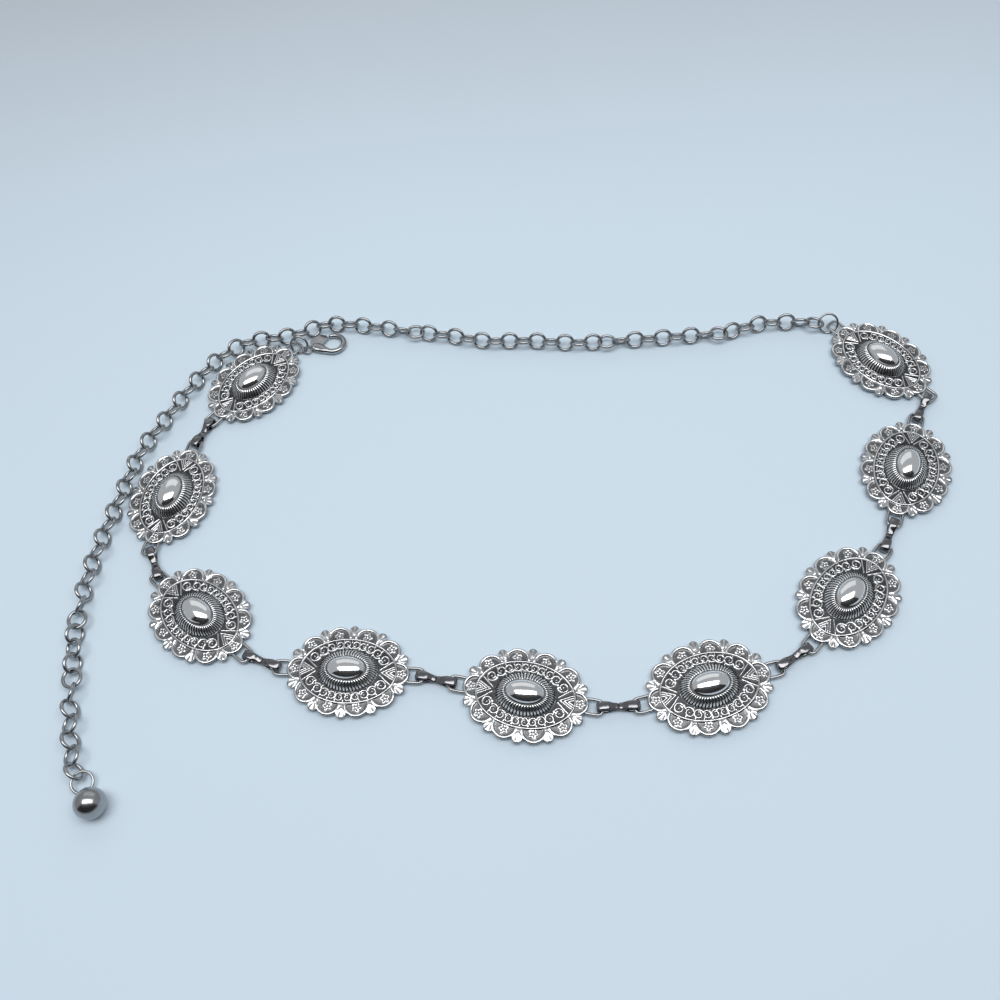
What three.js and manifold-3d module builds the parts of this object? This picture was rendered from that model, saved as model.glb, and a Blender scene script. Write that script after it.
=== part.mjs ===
// Concho belt: nine scalloped oval conchos joined by figure-eight links, with a lobster
// clasp at one end and a long cable chain with a ball at the other, lying as an open loop.
// Units are millimetres, +Z is up, and the surface that the belt lies on is z = 0.
import * as THREE from "three";
import { mergeVertices } from "three/addons/utils/BufferGeometryUtils.js";
import Module from "manifold-3d";

const wasm = await Module();
wasm.setup();

// Conchos
const PLATE_LENGTH = 47.2; // over the two end lobes
const PLATE_WIDTH = 36.2; // over the two middle fans
const PLATE_THICKNESS = 1.0;
const LOBE_RADIUS = 4.75;
const FAN_RADIUS = 1.75;
const RING_LENGTH = 22.6; // foot of the ribbed ring round the dome
const RING_WIDTH = 16.8;
const RING_HEIGHT = 3.3;
const DOME_LENGTH = 15.4;
const DOME_WIDTH = 9.8;
const DOME_HEIGHT = 2.0;
const SHELL = 0.9; // metal left over the hollow under the dome
const LOBE_STEPS = 3;
const FAN_STEPS = 2;
const OVAL_SIDES = 14;
const HOLLOW_SIDES = 8;

// Flat loop at each end of a concho
const LOOP_REACH = 5.6; // past the end lobe
const LOOP_WIDTH = 6.6;
const LOOP_BAR = 1.0;
const LOOP_CORNER = 1.5;
const LOOP_INNER_CORNER = 0.7;

// Figure-eight links between the conchos
const LINK_LENGTH = 16.2;
const LINK_HEIGHT = 4.5;
const LINK_WAIST = 2.4;
const LINK_WIDTH = 3.0;
const LINK_BAND = 0.9;
const BAR_SPREAD = 10.4; // between the two loop bars that one link holds

// Cable chain
const CHAIN_LINK_LENGTH = 8.86;
const CHAIN_LINK_WIDTH = 8.3;
const CHAIN_WIRE = 1.45;
const CHAIN_BITE = 0.12; // how far neighbouring wires press into each other
const CHAIN_LOOP_SIDES = 10;
const CHAIN_WIRE_SIDES = 5;

// Jump rings
const RING_WIRE = 1.0;
const CHAIN_RING_SIZE = 9.5;
const CLASP_RING_SIZE = 8.8;
const BALL_RING_SIZE = 8.8;
const RING_SIDES = 12;
const RING_WIRE_SIDES = 6;

// Ball at the free end of the chain
const BALL_SIZE = 12.2;
const BALL_SIDES = 12;
const BALL_EYE_SIZE = 3.4;
const BALL_EYE_WIRE = 0.8;
const BALL_EYE_SIDES = 8;

// Lobster clasp, lying flat
const CLASP_THICKNESS = 3.0;
const CLASP_HEADING = 10; // degrees from +X
const CLASP_SPAN = 12.3; // from the middle of its eye to the middle of the claw
const CLAW_SIZE = 11.8;
const CLAW_BAND = 2.0;
const CLAW_SIDES = 9;
const CLAW_START = -128; // degrees, where the spine runs into the claw
const CLAW_NOSE = 109;
const EYE_SIZE = 4.9;
const EYE_HOLE = 3.0;
const EYE_THICKNESS = 0.9;
const EYE_SIDES = 12;
const PIVOT_AHEAD = 3.9; // from the eye
const PIVOT_ASIDE = 0.9;
const PIVOT_SIZE = 1.6;
const LEVER_THICKNESS = 1.2;
const LEVER_END = 3.8; // its round end on the pivot
const FORK_SIZE = 5.0;

const CLEARANCE = 0.3;
const CONCHO_REST = RING_WIRE + 2 * CLEARANCE; // jump rings and links pass below the loops

const deg = THREE.MathUtils.degToRad;

// Solids from closed three.js geometry, and back again.
function solidOf(geometry) {
  const bare = geometry.clone();
  bare.deleteAttribute("normal");
  bare.deleteAttribute("uv");
  const merged = mergeVertices(bare, 1e-4);
  const mesh = new wasm.Mesh({
    numProp: 3,
    vertProperties: new Float32Array(merged.attributes.position.array),
    triVerts: new Uint32Array(merged.index.array),
  });
  return new wasm.Manifold(mesh);
}

function geometryOf(solid) {
  const mesh = solid.getMesh();
  const geometry = new THREE.BufferGeometry();
  geometry.setAttribute("position", new THREE.BufferAttribute(mesh.vertProperties, 3));
  geometry.setIndex(new THREE.BufferAttribute(mesh.triVerts, 1));
  geometry.computeVertexNormals();
  return geometry;
}

function join(geometries) {
  return geometries.map(solidOf).reduce((sum, next) => sum.add(next));
}

// A closed body from a stack of rings that all have the same number of points. A ring of
// one point closes the stack in a tip, and any other end is closed flat.
function stack(rings) {
  const points = [];
  const faces = [];
  const starts = rings.map((ring) => {
    const start = points.length;
    points.push(...ring);
    return start;
  });
  for (let level = 0; level + 1 < rings.length; level += 1) {
    const lower = rings[level].length;
    const upper = rings[level + 1].length;
    const count = Math.max(lower, upper);
    for (let i = 0; i < count; i += 1) {
      const next = (i + 1) % count;
      const a = starts[level] + (i % lower);
      const b = starts[level] + (next % lower);
      const c = starts[level + 1] + (next % upper);
      const d = starts[level + 1] + (i % upper);
      if (lower > 1) faces.push([a, b, c]);
      if (upper > 1) faces.push([a, c, d]);
    }
  }
  const last = rings.length - 1;
  for (let i = 1; i + 1 < rings[0].length; i += 1) {
    faces.push([starts[0], starts[0] + i + 1, starts[0] + i]);
  }
  for (let i = 1; i + 1 < rings[last].length; i += 1) {
    faces.push([starts[last], starts[last] + i, starts[last] + i + 1]);
  }
  const geometry = new THREE.BufferGeometry().setFromPoints(points);
  geometry.setIndex(faces.flat());
  return geometry;
}

// One level oval ring for stack: half length, half width and height.
function oval(halfLength, halfWidth, height, sides) {
  if (halfLength === 0) return [new THREE.Vector3(0, 0, height)];
  return Array.from({ length: sides }, (_, i) => {
    const turn = ((i + 0.5) / sides) * 2 * Math.PI;
    return new THREE.Vector3(halfLength * Math.cos(turn), halfWidth * Math.sin(turn), height);
  });
}

// A closed oval of wire round the Z axis; the wire is a prism with flat joints at the corners.
function wireOval(length, width, wire, loopSides, wireSides) {
  const points = [];
  const faces = [];
  for (let i = 0; i < loopSides; i += 1) {
    const turn = (i / loopSides) * 2 * Math.PI;
    const middle = new THREE.Vector2(
      ((length - wire) / 2) * Math.cos(turn),
      ((width - wire) / 2) * Math.sin(turn),
    );
    const outward = new THREE.Vector2(
      Math.cos(turn) / (length - wire),
      Math.sin(turn) / (width - wire),
    ).normalize();
    for (let j = 0; j < wireSides; j += 1) {
      const round = (j / wireSides) * 2 * Math.PI;
      const reach = (wire / 2) * Math.cos(round);
      const rise = (wire / 2) * Math.sin(round);
      points.push(new THREE.Vector3(middle.x + outward.x * reach, middle.y + outward.y * reach, rise));
      const a = i * wireSides + j;
      const b = i * wireSides + ((j + 1) % wireSides);
      const shift = ((i + 1) % loopSides) * wireSides - i * wireSides;
      faces.push([a, a + shift, b + shift], [a, b + shift, b]);
    }
  }
  const geometry = new THREE.BufferGeometry().setFromPoints(points);
  geometry.setIndex(faces.flat());
  return geometry;
}

// A shape in the XY plane made a plate between two heights.
function plate(shape, bottom, top) {
  const body = new THREE.ExtrudeGeometry(shape, { depth: top - bottom, bevelEnabled: false });
  return body.translate(0, 0, bottom);
}

// Where two neighbouring edge circles meet on the outside, or halfway between them if apart.
function meet(a, b) {
  const apart = b.centre.distanceTo(a.centre);
  const along = (apart * apart + a.radius ** 2 - b.radius ** 2) / (2 * apart);
  const aside = Math.sqrt(Math.max(0, a.radius ** 2 - along ** 2));
  const line = b.centre.clone().sub(a.centre).divideScalar(apart);
  const outward = new THREE.Vector2(line.y, -line.x);
  return a.centre.clone().addScaledVector(line, along).addScaledVector(outward, aside);
}

// Ten lobes with a small fan between each two, counted round from the right end. Places are
// shares of the half length and half width of the plate, and the rows are mirrored.
const EDGE_PLACES = [
  { kind: "lobe", along: 0.8, across: 0, size: 0.97 },
  { kind: "fan", along: 0.882, across: 0.33, size: 1 },
  { kind: "lobe", along: 0.61, across: 0.478, size: 1 },
  { kind: "fan", along: 0.474, across: 0.79, size: 1 },
  { kind: "lobe", along: 0.227, across: 0.7, size: 1 },
  { kind: "fan", along: 0, across: 0.903, size: 1 },
];

function edgeCircles() {
  const radii = { lobe: LOBE_RADIUS, fan: FAN_RADIUS };
  const circle = (row, sx, sy) => ({
    kind: row.kind,
    radius: radii[row.kind] * row.size,
    centre: new THREE.Vector2(
      (sx * row.along * PLATE_LENGTH) / 2,
      (sy * row.across * PLATE_WIDTH) / 2,
    ),
  });
  const [end, ...rest] = EDGE_PLACES;
  const middle = rest[rest.length - 1];
  const sides = rest.slice(0, -1);
  const back = [...sides].reverse();
  return [
    circle(end, 1, 1),
    ...sides.map((row) => circle(row, 1, 1)),
    circle(middle, 1, 1),
    ...back.map((row) => circle(row, -1, 1)),
    circle(end, -1, 1),
    ...sides.map((row) => circle(row, -1, -1)),
    circle(middle, 1, -1),
    ...back.map((row) => circle(row, 1, -1)),
  ];
}

function plateOutline() {
  const circles = edgeCircles();
  const points = [];
  circles.forEach((circle, i) => {
    const before = circles[(i + circles.length - 1) % circles.length];
    const after = circles[(i + 1) % circles.length];
    const from = meet(before, circle).sub(circle.centre);
    const to = meet(circle, after).sub(circle.centre);
    const start = Math.atan2(from.y, from.x);
    const sweep = (Math.atan2(to.y, to.x) - start + 4 * Math.PI) % (2 * Math.PI);
    const steps = circle.kind === "lobe" ? LOBE_STEPS : FAN_STEPS;
    for (let k = 0; k < steps; k += 1) {
      const turn = start + (sweep * k) / steps;
      const reach = k === 0 ? from.length() : circle.radius;
      points.push(
        new THREE.Vector2(
          circle.centre.x + reach * Math.cos(turn),
          circle.centre.y + reach * Math.sin(turn),
        ),
      );
    }
  });
  return new THREE.Shape(points);
}

// The flat loop past one end lobe, with cut corners; it starts inside the lobe.
const LOOP_END = PLATE_LENGTH / 2 + LOOP_REACH;
const LOOP_BAR_MIDDLE = LOOP_END - LOOP_BAR / 2;
const LOOP_ROOT = (EDGE_PLACES[0].along * PLATE_LENGTH) / 2;

function loopShape() {
  const outside = LOOP_WIDTH / 2;
  const inside = outside - LOOP_BAR;
  const innerEnd = LOOP_END - LOOP_BAR;
  return new THREE.Shape([
    new THREE.Vector2(LOOP_ROOT, -outside),
    new THREE.Vector2(LOOP_END - LOOP_CORNER, -outside),
    new THREE.Vector2(LOOP_END, LOOP_CORNER - outside),
    new THREE.Vector2(LOOP_END, outside - LOOP_CORNER),
    new THREE.Vector2(LOOP_END - LOOP_CORNER, outside),
    new THREE.Vector2(LOOP_ROOT, outside),
    new THREE.Vector2(LOOP_ROOT, inside),
    new THREE.Vector2(innerEnd - LOOP_INNER_CORNER, inside),
    new THREE.Vector2(innerEnd, inside - LOOP_INNER_CORNER),
    new THREE.Vector2(innerEnd, LOOP_INNER_CORNER - inside),
    new THREE.Vector2(innerEnd - LOOP_INNER_CORNER, -inside),
    new THREE.Vector2(LOOP_ROOT, -inside),
  ]);
}

// Sections of the ribbed ring and the dome, as shares of the ring's and the dome's sizes:
// ring runs from 1 at the foot to 0 at the groove round the dome, dome from 1 to 0 at its top.
const RING_SECTIONS = [
  { ring: 1, rise: 0 },
  { ring: 0.62, rise: 0.7 },
  { ring: 0, rise: 1 },
];
const DOME_SECTIONS = [
  { dome: 0.6, rise: 0.72 },
  { dome: 0, rise: 1 },
];
const HOLLOW_SECTIONS = [
  { ring: 1, rise: 0 },
  { ring: 0.1, rise: 1 },
];

function conchoSolid() {
  const top = PLATE_THICKNESS;
  const between = (share, foot, head) => head + (foot - head) * share;
  const rings = RING_SECTIONS.map(({ ring, rise }) =>
    oval(
      between(ring, RING_LENGTH, DOME_LENGTH) / 2,
      between(ring, RING_WIDTH, DOME_WIDTH) / 2,
      top + RING_HEIGHT * rise,
      OVAL_SIDES,
    ),
  );
  DOME_SECTIONS.forEach(({ dome, rise }) => {
    const height = top + RING_HEIGHT + DOME_HEIGHT * rise;
    rings.push(oval((DOME_LENGTH / 2) * dome, (DOME_WIDTH / 2) * dome, height, OVAL_SIDES));
  });
  rings.unshift(oval(RING_LENGTH / 2, RING_WIDTH / 2, top / 2, OVAL_SIDES));
  const wall = 2 * SHELL;
  const hollow = HOLLOW_SECTIONS.map(({ ring, rise }) =>
    oval(
      (between(ring, RING_LENGTH, DOME_LENGTH) - wall) / 2,
      (between(ring, RING_WIDTH, DOME_WIDTH) - wall) / 2,
      (top + RING_HEIGHT - SHELL) * rise - CLEARANCE * (1 - rise),
      HOLLOW_SIDES,
    ),
  );
  const loop = plate(loopShape(), 0, top);
  const otherLoop = loop.clone().rotateZ(Math.PI);
  const body = join([plate(plateOutline(), 0, top), loop, otherLoop, stack(rings)]);
  return body.subtract(solidOf(stack(hollow))).asOriginal().simplify(0.001);
}

// A figure-eight link, drawn from the side: half of one eye, mirrored twice.
const EYE_OUTER = [
  { along: 0.3, rise: 0.72 },
  { along: 0.52, rise: 1 },
  { along: 0.84, rise: 1 },
];
const EYE_INNER = [
  { along: 0.12, rise: 0.05 },
  { along: 0.42, rise: 1 },
  { along: 0.9, rise: 1 },
  { along: 1, rise: 0.4 },
];

function linkSolid() {
  const half = LINK_LENGTH / 2;
  const up = LINK_HEIGHT / 2;
  const waist = LINK_WAIST / 2;
  const top = EYE_OUTER.map(({ along, rise }) => [half * along, waist + (up - waist) * rise]);
  const quarter = [...top, [half, up * 0.4]];
  const outline = [
    ...quarter.map(([x, z]) => [x, z]).reverse(),
    [0, waist],
    ...quarter.map(([x, z]) => [-x, z]),
    ...quarter.map(([x, z]) => [-x, -z]).reverse(),
    [0, -waist],
    ...quarter.map(([x, z]) => [x, -z]),
  ].map(([x, z]) => new THREE.Vector2(x, z + up));
  const shape = new THREE.Shape(outline);
  const inner = half - LINK_BAND;
  const upper = EYE_INNER.map(({ along, rise }) => [inner * along, (up - LINK_BAND) * rise]);
  const eye = [...upper, ...upper.map(([x, z]) => [x, -z]).reverse()];
  [1, -1].forEach((side) => {
    shape.holes.push(new THREE.Path(eye.map(([x, z]) => new THREE.Vector2(side * x, z + up))));
  });
  const body = new THREE.ExtrudeGeometry(shape, { depth: LINK_WIDTH, bevelEnabled: false });
  body.rotateX(Math.PI / 2).translate(0, LINK_WIDTH / 2, 0);
  return solidOf(body);
}

// How the belt lies, a row for each concho and the link after it: their headings in
// degrees from +X, and the share of BAR_SPREAD that the link is pulled out to. A link that
// is far off a concho's heading holds one arm of its loop, the left one, and not the bar.
const BELT_LAY = [
  { concho: -133.5, link: -118.5, pull: 0.9, holds: "bar" },
  { concho: -106, link: -70, pull: 0.78, holds: "bar" },
  { concho: -45, link: -26, pull: 1.02, holds: "bar" },
  { concho: -9.5, link: -18, pull: 1.0, holds: "bar" },
  { concho: -16, link: -3.5, pull: 1.1, holds: "bar" },
  { concho: 9.5, link: 27, pull: 1.1, holds: "bar" },
  { concho: 43.5, link: 57, pull: 0.97, holds: "bar" },
  { concho: 63.5, link: 53, pull: 0.92, holds: "arm" },
  { concho: 124 },
];
const MIDDLE_CONCHO = 4; // the row that lies at the layout's own origin

const heading = (angle) => new THREE.Vector2(Math.cos(deg(angle)), Math.sin(deg(angle)));

// From the middle of concho i to where link row holds it, on its last loop, end = 1, or on
// its first, end = -1. A turned link sits aside on the bar, to keep inside the loop.
function gripOffset(i, row, end) {
  const { concho } = BELT_LAY[i];
  const { link, pull, holds } = BELT_LAY[row];
  const loopLength = LOOP_BAR_MIDDLE - PLATE_LENGTH / 2;
  const onArm = end === -1 && holds === "arm";
  const past = (LINK_LENGTH - LINK_BAND - BAR_SPREAD * pull) / 2;
  const turnedAside = end * past * Math.sin(deg(link - concho));
  const aside = onArm ? (LOOP_WIDTH - LOOP_BAR) / 2 : turnedAside;
  const reach = PLATE_LENGTH / 2 + loopLength * (onArm ? 0.62 : 1);
  return heading(concho)
    .multiplyScalar(end * reach)
    .addScaledVector(heading(concho + 90), aside);
}

// The middle of each link seen from the grip that it leaves, and from there the next grip.
function beltPlaces() {
  const conchos = BELT_LAY.map(() => null);
  const links = [];
  const pulled = (i) => heading(BELT_LAY[i].link).multiplyScalar(BAR_SPREAD * BELT_LAY[i].pull);
  const left = (i) => gripOffset(i, i, 1);
  const entered = (i) => gripOffset(i + 1, i, -1);
  conchos[MIDDLE_CONCHO] = new THREE.Vector2(0, 0);
  for (let i = MIDDLE_CONCHO; i + 1 < BELT_LAY.length; i += 1) {
    conchos[i + 1] = conchos[i].clone().add(left(i)).add(pulled(i)).sub(entered(i));
  }
  for (let i = MIDDLE_CONCHO - 1; i >= 0; i -= 1) {
    conchos[i] = conchos[i + 1].clone().add(entered(i)).sub(pulled(i)).sub(left(i));
  }
  for (let i = 0; i + 1 < BELT_LAY.length; i += 1) {
    const centre = conchos[i].clone().add(left(i)).addScaledVector(pulled(i), 0.5);
    links.push({ centre, angle: BELT_LAY[i].link });
  }
  return { conchos, links };
}

// A jump ring on a concho's end loop, its middle seen from the concho's, as shares of the
// way to the loop's bar and of its half width. It turns with the loop and leans from level.
const CHAIN_RING_PLACE = { ahead: 1, aside: 0.6, turn: -132, lean: 47, size: CHAIN_RING_SIZE };
const CLASP_RING_PLACE = { ahead: 0.957, aside: -0.7, turn: -55, lean: 58, size: CLASP_RING_SIZE };

// The ring's middle and its own level and rising directions.
function ringPlace(place, concho, angle) {
  const radius = (place.size - RING_WIRE) / 2;
  const along = heading(angle).multiplyScalar(LOOP_BAR_MIDDLE * place.ahead);
  const aside = heading(angle + 90).multiplyScalar((LOOP_WIDTH / 2) * place.aside);
  const flat = concho.clone().add(along).add(aside);
  const lift = radius * Math.sin(deg(place.lean));
  const turn = angle + place.turn;
  const level = heading(turn);
  const back = heading(turn + 90).multiplyScalar(Math.cos(deg(place.lean)));
  return {
    radius,
    turn,
    lean: place.lean,
    middle: new THREE.Vector3(flat.x, flat.y, RING_WIRE / 2 + lift),
    level: new THREE.Vector3(level.x, level.y, 0),
    rising: new THREE.Vector3(back.x, back.y, Math.sin(deg(place.lean))),
  };
}

// The point on a ring's own wire at an angle from its level direction.
function onRing(ring, angle, radius = ring.radius) {
  return ring.middle
    .clone()
    .addScaledVector(ring.level, radius * Math.cos(deg(angle)))
    .addScaledVector(ring.rising, radius * Math.sin(deg(angle)));
}

// The chain's way from the ring on the last concho to the ball: left along the back of the
// loop, then forward past the first two conchos. Chosen points, from the middle concho.
const CHAIN_ROUTE = [
  { x: 126, y: 163.5 },
  { x: 106.5, y: 160 },
  { x: 88, y: 160.7 },
  { x: 62, y: 161.5 },
  { x: 37, y: 163.5 },
  { x: 18, y: 167.3 },
  { x: -0.5, y: 169.5 },
  { x: -19, y: 175.5 },
  { x: -37.5, y: 180.5 },
  { x: -61, y: 187.3 },
  { x: -73.5, y: 189.4 },
  { x: -92.5, y: 184.6 },
  { x: -110.8, y: 183.8 },
  { x: -123.3, y: 176.8 },
  { x: -134.8, y: 162.9 },
  { x: -147, y: 142.7 },
  { x: -156, y: 126.5 },
  { x: -162.5, y: 103 },
  { x: -168.8, y: 79.5 },
  { x: -171.7, y: 62 },
  { x: -172.8, y: 43.5 },
  { x: -171.3, y: 25.5 },
  { x: -169.5, y: 7.5 },
  { x: -165.8, y: -10 },
  { x: -161, y: -20 },
];

// Runs of links: how far their joints swing to each side, as a share of a link's width.
const CHAIN_RUNS = [
  { name: "chain_back", links: 36, swing: 0 },
  { name: "chain_tail", links: 42, swing: 0.1 },
];

// The first link's turn round its own length, and between which links, counted from 1, the
// chain twists by so many degrees more.
const CHAIN_START_TURN = -25;
const CHAIN_TWISTS = [
  { from: 1, to: 3, turn: 70 },
  { from: 7, to: 10, turn: 90 },
  { from: 14, to: 17, turn: -90 },
  { from: 29, to: 32, turn: 90 },
  { from: 66, to: 69, turn: -90 },
  { from: 71, to: 74, turn: 90 },
];

const CHAIN_INNER = (CHAIN_WIRE / 2) * Math.cos(Math.PI / CHAIN_WIRE_SIDES);
const CHAIN_PITCH = CHAIN_LINK_LENGTH - CHAIN_WIRE - 2 * CHAIN_INNER + CHAIN_BITE;
const PAST_JOINT = (CHAIN_LINK_LENGTH - CHAIN_WIRE - CHAIN_PITCH) / 2;

// How far a link has turned round its own length, from lying level.
function linkTurn(number) {
  const twists = CHAIN_TWISTS.map(({ from, to, turn }) =>
    turn * Math.min(1, Math.max(0, (number - from) / (to - from))),
  );
  return CHAIN_START_TURN + 90 * (number - 1) + twists.reduce((sum, twist) => sum + twist);
}

// The height at which a link so turned touches the ground with its lower edge.
function linkRest(number) {
  const halfWidth = ((CHAIN_LINK_WIDTH - CHAIN_WIRE) / 2) * Math.cos(Math.PI / CHAIN_LOOP_SIDES);
  return halfWidth * Math.abs(Math.sin(deg(linkTurn(number)))) + CHAIN_WIRE / 2;
}

// Joints along the way, each a pitch from the last, with one link between each two. The
// first link of a later run starts a little back, so that its node stays clear.
function chainJoints(start) {
  const way = [start, ...CHAIN_ROUTE.map(({ x, y }) => new THREE.Vector3(x, y, 0))];
  const curve = new THREE.CatmullRomCurve3(way, false, "centripetal");
  const length = curve.getLength();
  const total = CHAIN_RUNS.reduce((sum, run) => sum + run.links, 0);
  const pointAt = (along, swing, height) => {
    const share = Math.min(1, along / length);
    const ahead = curve.getTangentAt(share);
    const aside = new THREE.Vector3(-ahead.y, ahead.x, 0).normalize();
    return curve.getPointAt(share).setZ(0).addScaledVector(aside, swing).setZ(height);
  };
  const links = [];
  let from = start.clone();
  let along = 0;
  let number = 1;
  CHAIN_RUNS.forEach((run, index) => {
    for (let i = 0; i < run.links; i += 1) {
      if (index > 0 && i === 0) {
        const back = links[links.length - 1].direction;
        from = from.clone().addScaledVector(back, -(CHAIN_BITE + 2 * CLEARANCE));
      }
      const side = number % 2 === 0 ? 1 : -1;
      const swing = side * run.swing * CHAIN_LINK_WIDTH;
      const next = Math.min(number + 1, total);
      const height = Math.max(linkRest(number), linkRest(next));
      let near = along;
      let far = along + 2 * CHAIN_PITCH;
      for (let step = 0; step < 30; step += 1) {
        const middle = (near + far) / 2;
        if (pointAt(middle, swing, height).distanceTo(from) < CHAIN_PITCH) near = middle;
        else far = middle;
      }
      along = (near + far) / 2;
      const to = pointAt(along, swing, height);
      links.push({ run: run.name, number, from, to, direction: to.clone().sub(from).normalize() });
      from = to;
      number += 1;
    }
  });
  return links;
}

function chainLink(geometry, { number, from, to, direction }) {
  const side = new THREE.Vector3(-direction.y, direction.x, 0).normalize();
  const up = direction.clone().cross(side);
  const turn = deg(linkTurn(number));
  const normal = up.multiplyScalar(Math.cos(turn)).addScaledVector(side, Math.sin(turn));
  const across = normal.clone().cross(direction);
  const frame = new THREE.Matrix4().makeBasis(direction, across, normal);
  frame.setPosition(from.clone().add(to).multiplyScalar(0.5));
  return geometry.clone().applyMatrix4(frame);
}

// Points on an arc, in degrees.
function arc(centre, radius, start, end, steps) {
  return Array.from({ length: steps + 1 }, (_, i) => {
    const turn = deg(start + ((end - start) * i) / steps);
    return new THREE.Vector2(centre.x + radius * Math.cos(turn), centre.y + radius * Math.sin(turn));
  });
}

function disc(centre, size, sides) {
  return new THREE.Shape(arc(centre, size / 2, 0, 360 - 360 / sides, sides - 1));
}

// The clasp lies along +X from the middle of its eye, with the lever on the +Y side.
const CLAW = new THREE.Vector2(CLASP_SPAN, 0);
const PIVOT = new THREE.Vector2(PIVOT_AHEAD, PIVOT_ASIDE);
const CLASP_EYE = new THREE.Vector2(0, 0);

function claspBody() {
  const top = CLASP_THICKNESS;
  const outer = CLAW_SIZE / 2;
  const inner = outer - CLAW_BAND;
  const claw = new THREE.Shape([
    ...arc(CLAW, outer, CLAW_START, CLAW_NOSE, CLAW_SIDES),
    ...arc(CLAW, inner, CLAW_START, CLAW_NOSE, CLAW_SIDES).reverse(),
  ]);
  const [outerStart] = arc(CLAW, outer, CLAW_START + 20, CLAW_NOSE, 1);
  const [innerStart] = arc(CLAW, inner, CLAW_START + 20, CLAW_NOSE, 1);
  const spine = new THREE.Shape([
    new THREE.Vector2(EYE_SIZE * 0.1, -EYE_SIZE / 2),
    outerStart,
    innerStart,
    new THREE.Vector2(PIVOT.x + FORK_SIZE * 0.36, PIVOT.y - FORK_SIZE * 0.35),
    new THREE.Vector2(PIVOT.x - FORK_SIZE * 0.45, PIVOT.y + FORK_SIZE * 0.2),
    new THREE.Vector2(EYE_SIZE * 0.1, EYE_SIZE / 2),
  ]);
  const eyeBottom = top - EYE_THICKNESS;
  const fork = disc(PIVOT, FORK_SIZE, EYE_SIDES);
  const body = join([
    plate(claw, 0, top),
    plate(spine, 0, top),
    plate(fork, 0, top),
    plate(disc(CLASP_EYE, EYE_SIZE, EYE_SIDES), eyeBottom, top),
  ]);
  const slotBottom = (top - LEVER_THICKNESS) / 2 - CLEARANCE;
  const reach = LEVER_END / 2 + CLEARANCE;
  const slot = new THREE.Shape([
    ...arc(PIVOT, reach, 170, 300, 6),
    new THREE.Vector2(PIVOT.x + FORK_SIZE, PIVOT.y - reach),
    new THREE.Vector2(PIVOT.x + FORK_SIZE, PIVOT.y + FORK_SIZE),
    new THREE.Vector2(PIVOT.x - reach, PIVOT.y + FORK_SIZE),
  ]);
  const hole = plate(disc(CLASP_EYE, EYE_HOLE, EYE_SIDES), -top, 2 * top);
  const under = plate(disc(CLASP_EYE, EYE_SIZE + CLEARANCE, EYE_SIDES), -top, eyeBottom);
  const cut = join([plate(slot, slotBottom, top - slotBottom), hole, under]);
  return body.subtract(cut).add(solidOf(plate(disc(PIVOT, PIVOT_SIZE, 8), 0.1, top - 0.1)));
}

function claspLever() {
  const bottom = (CLASP_THICKNESS - LEVER_THICKNESS) / 2;
  const inner = CLAW_SIZE / 2 - CLAW_BAND;
  const gap = (CLEARANCE / (CLAW_SIZE / 2)) * (180 / Math.PI) * 1.5;
  const [noseInner] = arc(CLAW, inner + CLEARANCE, CLAW_NOSE + gap, 0, 1);
  const [noseOuter] = arc(CLAW, CLAW_SIZE / 2, CLAW_NOSE + gap, 0, 1);
  const shape = new THREE.Shape([
    ...arc(PIVOT, LEVER_END / 2, 150, 315, 6),
    noseInner,
    noseOuter,
    new THREE.Vector2(PIVOT.x + LEVER_END, PIVOT.y + LEVER_END * 1.5),
    new THREE.Vector2(PIVOT.x - LEVER_END * 0.2, PIVOT.y + LEVER_END * 1.25),
    new THREE.Vector2(PIVOT.x - LEVER_END * 0.5, PIVOT.y + LEVER_END * 0.9),
  ]);
  shape.holes.push(new THREE.Path(arc(PIVOT, PIVOT_SIZE / 2 + CLEARANCE, 0, 315, 7)));
  return solidOf(plate(shape, bottom, bottom + LEVER_THICKNESS));
}

const group = new THREE.Group();
const brightSilver = { color: 0xc9ccd0, roughness: 0.28, metalness: 1 };
const gunmetal = { color: 0x5c5e60, roughness: 0.22, metalness: 1 };
const greySilver = { color: 0x9fa1a3, roughness: 0.3, metalness: 1 };

function addPiece(name, geometry, finish) {
  const mesh = new THREE.Mesh(geometry, new THREE.MeshStandardMaterial(finish));
  mesh.name = name;
  group.add(mesh);
  return mesh;
}

const places = beltPlaces();
const conchoGeometry = geometryOf(conchoSolid());
places.conchos.forEach((centre, i) => {
  const concho = addPiece(`concho_${i + 1}`, conchoGeometry, brightSilver);
  concho.position.set(centre.x, centre.y, CONCHO_REST);
  concho.rotation.z = deg(BELT_LAY[i].concho);
});

const linkGeometry = geometryOf(linkSolid());
places.links.forEach(({ centre, angle }, i) => {
  const link = addPiece(`figure_eight_${i + 1}`, linkGeometry, gunmetal);
  link.position.set(centre.x, centre.y, 0);
  link.rotation.z = deg(angle);
});

// Jump rings: an upright prism ring leaned round its level direction.
function addRing(name, ring) {
  const size = 2 * ring.radius + RING_WIRE;
  const geometry = wireOval(size, size, RING_WIRE, RING_SIDES, RING_WIRE_SIDES);
  const mesh = addPiece(name, geometryOf(solidOf(geometry)), greySilver);
  mesh.position.copy(ring.middle);
  mesh.rotation.set(deg(ring.lean), 0, deg(ring.turn), "ZYX");
}

const lastConcho = places.conchos[places.conchos.length - 1];
const lastAngle = BELT_LAY[BELT_LAY.length - 1].concho;
const chainRing = ringPlace(CHAIN_RING_PLACE, lastConcho, lastAngle);
const claspRing = ringPlace(CLASP_RING_PLACE, places.conchos[0], BELT_LAY[0].concho + 180);
addRing("chain_ring", chainRing);
addRing("clasp_ring", claspRing);

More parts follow.
